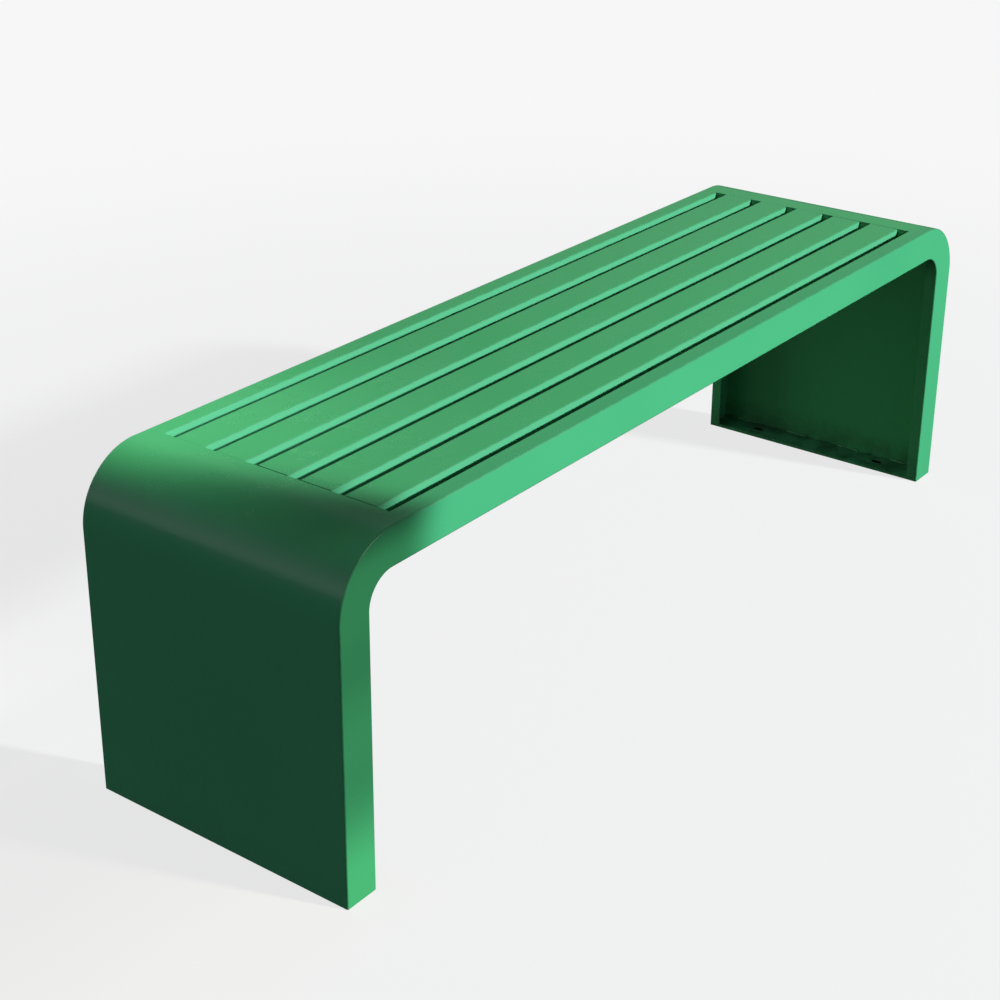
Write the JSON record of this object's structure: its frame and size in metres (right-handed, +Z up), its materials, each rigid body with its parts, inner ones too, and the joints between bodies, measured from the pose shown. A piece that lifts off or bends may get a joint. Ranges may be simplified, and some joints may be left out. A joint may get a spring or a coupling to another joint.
{
  "type": "backless bench",
  "caption": "Backless street bench: an inverted U of welded sheet steel with round bends, lengthwise seat slats and slotted foot plates for ground anchors.",
  "frame": {"origin": "on the ground under the middle of the seat", "axes": "+X along the bench, +Y from its front to its back, +Z up"},
  "size_m": [1.5, 0.4, 0.45],
  "materials": {
    "powder_coat": "semi-gloss green powder coat on steel"
  },
  "bodies": {
    "root": {"cross_bearer_1": "powder_coat", "cross_bearer_2": "powder_coat", "cross_bearer_3": "powder_coat", "front_cheek": "powder_coat", "front_left_leg_lip": "powder_coat", "front_rail_lip": "powder_coat", "front_right_leg_lip": "powder_coat", "front_top_strip": "powder_coat", "left_end_ledger": "powder_coat", "left_end_skin": "powder_coat", "left_foot_plate": "powder_coat", "rear_cheek": "powder_coat", "rear_left_leg_lip": "powder_coat", "rear_rail_lip": "powder_coat", "rear_right_leg_lip": "powder_coat", "rear_top_strip": "powder_coat", "right_end_ledger": "powder_coat", "right_end_skin": "powder_coat", "right_foot_plate": "powder_coat", "slat_1": "powder_coat", "slat_2": "powder_coat", "slat_3": "powder_coat", "slat_4": "powder_coat", "slat_5": "powder_coat"}
  },
  "joints": []
}
